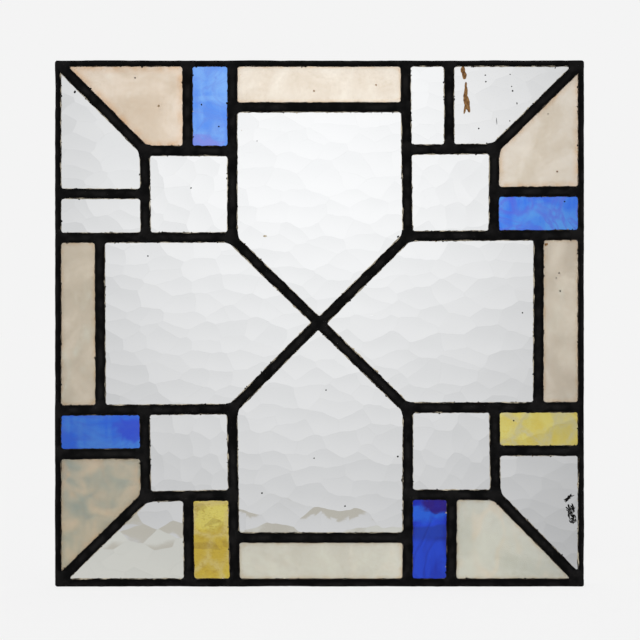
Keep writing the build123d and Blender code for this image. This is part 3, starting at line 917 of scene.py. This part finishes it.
def glass_shader(tree, colour, roughness=0.0, transmission=1.0, normal=None, ior=1.5):
    """Glass that lets lamps colour what lies behind it."""
    inputs = {"Base Color": colour, "Roughness": roughness, "IOR": ior, "Transmission Weight": transmission}
    if normal is not None:
        inputs["Normal"] = normal
    glass = tree.add("BsdfPrincipled", inputs)
    clear = tree.add("BsdfTransparent", {"Color": colour})
    shadow = tree.add("LightPath").outputs["Is Shadow Ray"]
    both = tree.add("MixShader", {0: shadow, 1: glass.outputs[0], 2: clear.outputs[0]})
    return tree.end(both.outputs[0])


def edge_stain(tree, colour, stain, reach, strength=1.0):
    """Browned glass near the cames."""
    near = tree.ramp(tree.value("inset"), 0.0, reach, 1.0, 0.0)
    patchy = tree.ramp(tree.noise(120.0, 4.0), 0.3, 0.75, 0.25, 1.0)
    amount = tree.times(tree.times(near, patchy), strength)
    return tree.mix(amount, colour, stain, "MULTIPLY")


def clear_glass(name, tint):
    """Colourless glass with faint painted shade across its facets and thin lines of painted grey shade along
    its creases.
    """
    tree = Tree(name)
    # Painted shade across each facet
    facet_shade = tree.ramp(tree.value("facet_shade"), -2.4, 1.8)
    colour = tree.mix(facet_shade, (0.915, 0.92, 0.922), (1, 1, 1))
    colour = tree.mix(1.0, colour, tint, "MULTIPLY")
    # Painted shade along the creases, thin and broken
    broken = tree.ramp(tree.noise(60.0, 2.0), 0.4, 0.65, 0.0, 1.0)
    line = tree.times(tree.value("crease"), broken)
    colour = tree.mix(line, colour, (0.93, 0.93, 0.925), "MULTIPLY")
    colour = edge_stain(tree, colour, (0.72, 0.6, 0.42), 1.3, 0.8)
    return glass_shader(tree, colour, 0.0, 1.0, tree.bump(tree.noise(300.0, 2.0), 0.004 * MM))


def beige_glass(name, cloud_dark, cloud_light, wisp_colour, stain, reach=4.5, clouds=24.0):
    """Milky glass: soft clouds, thin wisps, and tan edges."""
    tree = Tree(name)
    cloud = tree.noise(clouds, 5.0, 0.9)
    wisps = tree.noise(55.0, 5.0, 1.6, (1, 1, 0.5))
    specks = tree.noise(420.0, 2.0)
    colour = tree.mix(tree.ramp(cloud, 0.32, 0.7), cloud_dark, cloud_light)
    colour = tree.mix(tree.ramp(wisps, 0.5, 0.78, 0.0, 0.6), colour, wisp_colour)
    colour = tree.mix(tree.ramp(specks, 0.3, 0.6, 0.12, 0.0), colour, (0.6, 0.45, 0.28), "MULTIPLY")
    # Faint painted shade along the creases
    crease = tree.times(tree.value("crease"), 0.12)
    colour = tree.mix(crease, colour, (0.7, 0.6, 0.5), "MULTIPLY")
    colour = edge_stain(tree, colour, stain, reach, 0.9)
    return glass_shader(tree, colour, 0.22, 0.8)


def blue_glass(name, dark, light, violet, stretch, amount, spots=()):
    """Streaky blue glass with curved violet bands, and patches of other colours."""
    tree = Tree(name)
    wide = tree.noise(34.0, 4.0, 1.0, stretch)
    thin = tree.noise(160.0, 3.0, 0.6, (1, 1, 0.15))
    wisp = tree.noise(30.0, 2.0, 2.2, stretch)
    streak = tree.plus(tree.times(wide, 0.7), tree.times(thin, 0.3))
    colour = tree.patched(tree.mix(tree.ramp(streak, 0.38, 0.6), dark, light), spots)
    line = tree.ramp(tree.maths("ABSOLUTE", tree.minus(wisp, 0.5)), 0.0, 0.07, 1.0, 0.0)
    colour = tree.mix(tree.times(line, amount), colour, violet)
    colour = edge_stain(tree, colour, (0.45, 0.5, 0.8), 1.6, 0.9)
    return glass_shader(tree, colour, 0.02, ior=1.3)


def amber_glass(name, dark, light, crease, spots=()):
    """Yellow glass with painted shade across its facets, darker towards each facet's top, with pale and dull
    bands along their creases.
    """
    tree = Tree(name)
    # Painted shade across each facet, darker towards its top
    facet_shade = tree.ramp(tree.value("facet_shade"), -1.8, 1.8)
    streak = tree.ramp(tree.noise(45.0, 4.0, 0.8, (1, 1, 0.6)), 0.38, 0.66, 0.0, 0.6)
    colour = tree.patched(tree.mix(tree.plus(tree.times(facet_shade, 0.5), streak), dark, light), spots)
    inputs = {"Vector": tree.place(), "Scale": 40.0, "Randomness": 0.9}
    cell = tree.add("TexVoronoi", inputs, feature="DISTANCE_TO_EDGE").outputs["Distance"]
    ragged = tree.plus(cell, tree.times(tree.noise(150.0, 4.0), 0.3))
    colour = tree.mix(tree.ramp(ragged, 0.16, 0.3, 0.8, 0.0), colour, crease)
    crumpled = tree.noise(190.0, 4.0, 1.5, (1, 1, 1.6))
    colour = tree.mix(tree.ramp(crumpled, 0.55, 0.66, 0.0, 0.6), colour, dark)
    colour = edge_stain(tree, colour, (0.7, 0.55, 0.3), 1.4, 0.8)
    return glass_shader(tree, colour, 0.02)


def cement_material():
    """Old glazing cement: dirty cream and brown, matt."""
    tree = Tree("old_cement")
    patch = tree.noise(110.0, 4.0)
    colour = tree.mix(tree.ramp(patch, 0.5, 0.74), (0.014, 0.01, 0.007), (0.2, 0.16, 0.12))
    spread = tree.ramp(tree.noise(500.0, 3.0), 0.35, 0.65)
    tan = tree.mix(spread, (0.16, 0.1, 0.05), (0.38, 0.27, 0.16))
    pale = tree.mix(spread, (0.36, 0.3, 0.2), (0.62, 0.55, 0.42))
    brown = tree.mix(spread, (0.12, 0.055, 0.022), (0.28, 0.15, 0.055))
    kind = tree.value("kind")
    cream = tree.mix(tree.ramp(patch, 0.42, 0.62), (0.03, 0.024, 0.018), (0.5, 0.44, 0.33))
    colour = tree.mix(tree.maths("GREATER_THAN", kind, PALE_CEMENT / 2), colour, cream)
    black = (0.004, 0.0035, 0.003)
    for number, dirt_colour in ((BLACK, black), (TAN_DIRT, tan), (BROWN, brown), (PALE, pale)):
        colour = tree.mix(tree.maths("GREATER_THAN", kind, number - 0.5), colour, dirt_colour)
    shader = tree.add("BsdfPrincipled", {
        "Base Color": colour, "Roughness": 0.9, "Specular IOR Level": 0.1,
        "Normal": tree.bump(tree.noise(1200.0, 3.0), 0.1 * MM),
    })
    return tree.end(shader.outputs[0])


# Building the pieces

# Lead and solder: dark colour, the paler colour of the painted sheen on the crowns (in blotches all over the
# solder), roughness and bump depth
LEAD = lead_material("leaded_patina", (0.0005, 0.0005, 0.0006), (0.0092, 0.0086, 0.0086), 0.6, 0.16)
SOLDER = lead_material("blackened_solder", (0.0012, 0.0012, 0.0013), (0.0075, 0.007, 0.007), 0.5, 0.1)
CEMENT = cement_material()
CLEAR = clear_glass("clear_hammered_glass", (0.995, 0.997, 0.988))
DULL = clear_glass("dull_hammered_glass", (0.94, 0.94, 0.93))
TAN = (0.86, 0.62, 0.38)
ORANGE = (0.9, 0.58, 0.3)
CREAM = (0.97, 0.9, 0.79)
# Each pane of beige glass: dark and light clouds, wisps, edge stain, how far in that reaches, cloud scale
BEIGES = {
    "strip_top": ((0.9, 0.8, 0.67), (1, 0.93, 0.82), CREAM, TAN, 3.5),
    "upper_left_top": ((0.79, 0.66, 0.51), (0.94, 0.83, 0.7), CREAM, ORANGE, 8),
    "upper_right_side": ((0.78, 0.69, 0.56), (0.92, 0.85, 0.75), CREAM, ORANGE, 6),
    "strip_left": ((0.68, 0.6, 0.47), (0.85, 0.76, 0.62), (0.79, 0.79, 0.67), TAN),
    "strip_right": ((0.69, 0.61, 0.49), (0.86, 0.78, 0.65), (0.8, 0.79, 0.68), TAN),
    "lower_left_side": ((0.45, 0.5, 0.43), (0.76, 0.65, 0.48), (0.78, 0.56, 0.36), TAN, 4.5, 38),
    "strip_bottom": ((0.82, 0.8, 0.71), (0.92, 0.91, 0.82), CREAM, TAN, 4),
    "lower_right_bottom": ((0.74, 0.75, 0.66), (0.87, 0.87, 0.78), (1, 0.84, 0.66), TAN, 4),
}
# Each pane of blue glass: dark, light and violet, how its streaks are stretched, how violet it is, patches
BLUES = {
    "upper_left_upright_slip": (
        (0.12, 0.32, 0.95), (0.23, 0.48, 1), (0.16, 0.3, 0.85), (0.7, 1, 1), 0.5,
        [((-107, 384, 22, 9), (0.24, 0.3, 0.85))],
    ),
    "upper_right_level_slip": (
        (0.045, 0.21, 1), (0.12, 0.39, 1), (0.13, 0.17, 0.86), (0.8, 1, 0.8), 0.65,
    ),
    "lower_left_level_slip": (
        (0.035, 0.19, 1), (0.09, 0.33, 1), (0.07, 0.15, 0.85), (0.5, 1, 1), 0.4,
        [((-162, 137, 17, 10), (0.045, 0.12, 0.9))],
    ),
    "lower_right_upright_slip": (
        (0.006, 0.025, 0.6), (0.02, 0.09, 0.95), (0.012, 0.015, 0.45), (1, 1, 0.3), 0.35,
        [((90, 63, 22, 8), (0.025, 0.17, 1)), ((103, 72, 15, 8), (0.03, 0.008, 0.3))],
    ),
}
# Each pane of amber glass: dark, light, the bands along its creases, and patches
AMBERS = {
    "lower_left_upright_slip": (
        (0.62, 0.4, 0.01), (1, 0.78, 0.08), (0.9, 0.72, 0.25),
        [((-96, 64, 24, 15), (1, 0.85, 0.17)), ((-96, 24, 26, 18), (0.82, 0.58, 0.04))],
    ),
    "lower_right_level_slip": ((0.95, 0.72, 0.08), (1, 0.88, 0.24), (0.84, 0.76, 0.4)),
}


def coloured_glass():
    """The material of every pane that isn't plain clear glass."""
    found = {"pane_upper_right_top": DULL}
    families = ("beige", beige_glass, BEIGES), ("blue", blue_glass, BLUES), ("amber", amber_glass, AMBERS)
    for family, make, looks in families:
        for letter, (name, look) in zip("abcdefgh", looks.items()):
            found["pane_" + name] = make(f"{family}_glass_{letter}", *look)
    return found


def build_lead():
    for name in CAMES + BORDERS:
        shape = Shape()
        rng = seeded(name)
        for bar in bars[name]:
            (u_came if name in BORDERS else h_came)(shape, bar, rng)
        shape.piece(name + "_worked", LEAD, "lead", [name])


def build_solder():
    every = [bar for row in bars.values() for bar in row]
    centres = [points[:, [0, 2]].mean(axis=0) for points in solids_of("solder_front")]
    for node, side in (("solder_front", -1), ("solder_back", 1)):
        shape = Shape()
        rng = seeded(node)
        for centre in centres:
            near = [bar for bar in every if bar.inside(centre, JOINT_SPARE) < JOINT_NEAR]
            solder_blob(shape, centre, near, rng, side)
        shape.piece(node + "_puddles", SOLDER, "solder", [node], angle=60.0)


def build_glass():
    coloured = coloured_glass()
    for name in PANES:
        pane(name, coloured.get(name, CLEAR))


def build_cement():
    shape = Shape()
    rng = seeded("cement")
    for name, opening in openings.items():
        kind = PALE_CEMENT if slots[name] == "clear_glass" else DARK_CEMENT
        for side in (-1, 1):
            cement_fillet(shape, opening, side, rng, kind)
    dirt(shape)
    shape.piece("cement_fillets", CEMENT, "cement", ["cement"], value_name="kind")


# Stage

def plane(name, corners, material):
    mesh = bpy.data.meshes.new(name)
    mesh.from_pydata([tuple(np.array(c) * MM) for c in corners], [], [tuple(range(len(corners)))])
    mesh.materials.append(material)
    made = placed(name, mesh)
    return made


# The screen's brightness: at its brightest, its fall per millimetre below and sideways, and how bright it is
# aside from the panel. Its red and blue for each part of green, and the table under it, with a band of
# painted shadow along the table's upper edge
SCREEN_BRIGHT = 0.968
SCREEN_PEAK = 336.0
SCREEN_FALL = 0.00133
SCREEN_SIDE_FALL = 5.8e-6
SCREEN_SIDE_FADE = 580.0
SCREEN_ASIDE = 0.74
SCREEN_TINT = (0.993, 1.018)
TABLE_LINE = 52.5
TABLE_EDGE = 11.0
TABLE_SIDES = (-300.0, 172.0)
TABLE_EDGE_SHADOW = (0.45, 0.43, 0.38)
TABLE_TOP = (0.57, 0.57, 0.535)


def screen_material():
    """A lit screen, brightest above the middle, with the table low down and a band of painted shadow along
    its edge.
    """
    tree = Tree("lit_screen")
    split = tree.add("SeparateXYZ", {"Vector": tree.add("NewGeometry").outputs["Position"]})
    shrink = CAMERA_DISTANCE / (CAMERA_DISTANCE + SCREEN_DISTANCE)
    x, z = (
        tree.plus(tree.times(tree.minus(split.outputs[axis], centre * MM), shrink / MM), centre)
        for axis, centre in zip("XZ", AIM)
    )
    below = tree.maths("MAXIMUM", tree.minus(SCREEN_PEAK, z), 0.0)
    fade = tree.maths("MAXIMUM", tree.minus(1.0, tree.maths("DIVIDE", below, SCREEN_SIDE_FADE)), 0.0)
    sideways = tree.times(tree.times(x, x), SCREEN_SIDE_FALL)
    bright = tree.minus(SCREEN_BRIGHT, tree.times(below, SCREEN_FALL))
    bright = tree.minus(bright, tree.times(sideways, fade))
    bright = tree.maths("MAXIMUM", bright, 0.4)
    outside = tree.ramp(tree.maths("ABSOLUTE", x), 270.0, 420.0)
    aside = tree.maths("MAXIMUM", outside, tree.ramp(z, -220.0, -70.0, 1.0, 0.0))
    more = tree.times(tree.minus(SCREEN_ASIDE, bright), aside)
    bright = tree.plus(bright, more)
    table = tree.ramp(z, TABLE_LINE - 1.0, TABLE_LINE + 1.0, 1.0, 0.0)
    for side, sign in zip(TABLE_SIDES, (-1.0, 1.0)):
        out = tree.times(tree.minus(x, side), sign)
        table = tree.times(table, tree.ramp(out, -8.0, 8.0, 1.0, 0.0))
    # Painted shadow: a dark band just below the table's line, with the paler table top under it
    lower = tree.ramp(z, TABLE_LINE - TABLE_EDGE - 2.0, TABLE_LINE - TABLE_EDGE + 2.0)
    red, blue = (tree.times(bright, share) for share in SCREEN_TINT)
    lit = tree.add("CombineColor", {0: red, 1: bright, 2: blue}).outputs[0]
    colour = tree.mix(table, lit, tree.mix(lower, TABLE_TOP, TABLE_EDGE_SHADOW))
    return tree.end(tree.add("Emission", {"Color": colour}).outputs[0])


def build_stage():
    floor = Tree("pale_floor")
    matt = {"Base Color": (WHITE,) * 3, "Roughness": 0.9, "Specular IOR Level": 0.0}
    lit = floor.add("BsdfPrincipled", matt)
    glow = floor.add("Emission", {"Color": (WHITE,) * 3})
    share = floor.times(floor.shown(), FLOOR_GLOW)
    shader = floor.add("MixShader", {0: share, 1: lit.outputs[0], 2: glow.outputs[0]})
    r = FLOOR_HALF
    made = plane("floor", [(-r, -r, 0), (r, -r, 0), (r, r, 0), (-r, r, 0)], floor.end(shader.outputs[0]))
    made.visible_transmission = False
    screen = screen_material()
    h = SCREEN_HALF
    for name, y in (("screen_behind", SCREEN_DISTANCE), ("screen_before", -SCREEN_DISTANCE)):
        made = plane(name, [(-h, y, -h), (h, y, -h), (h, y, h), (-h, y, h)], screen)
        made.visible_camera = made.visible_diffuse = made.visible_glossy = made.visible_shadow = False
        made.visible_volume_scatter = False


def build_light():
    tree = Tree("studio", "World")
    strength = tree.add("MapRange", {"Value": tree.shown(), "To Min": SKY, "To Max": WHITE}).outputs[0]
    background = tree.add("Background", {"Color": (1, 1, 1), "Strength": strength})
    bpy.context.scene.world = tree.end(background.outputs[0])
    lamp = bpy.data.lights.new("sun", "SUN")
    lamp.energy = SUN
    lamp.angle = SUN_ANGLE
    placed("sun", lamp).rotation_euler = SUN_TURN


def build_camera():
    data = bpy.data.cameras.new("camera")
    data.sensor_width = SENSOR
    data.lens = SENSOR * CAMERA_DISTANCE / VIEW_WIDTH
    camera = placed("camera", data)
    camera.location = (AIM[0] * MM, -CAMERA_DISTANCE * MM, AIM[1] * MM)
    camera.rotation_euler = (pi / 2, 0, 0)
    bpy.context.scene.camera = camera


build_camera()
build_light()
build_stage()
build_lead()
build_solder()
build_glass()
build_cement()

bpy.context.scene.view_settings.view_transform = "Standard"
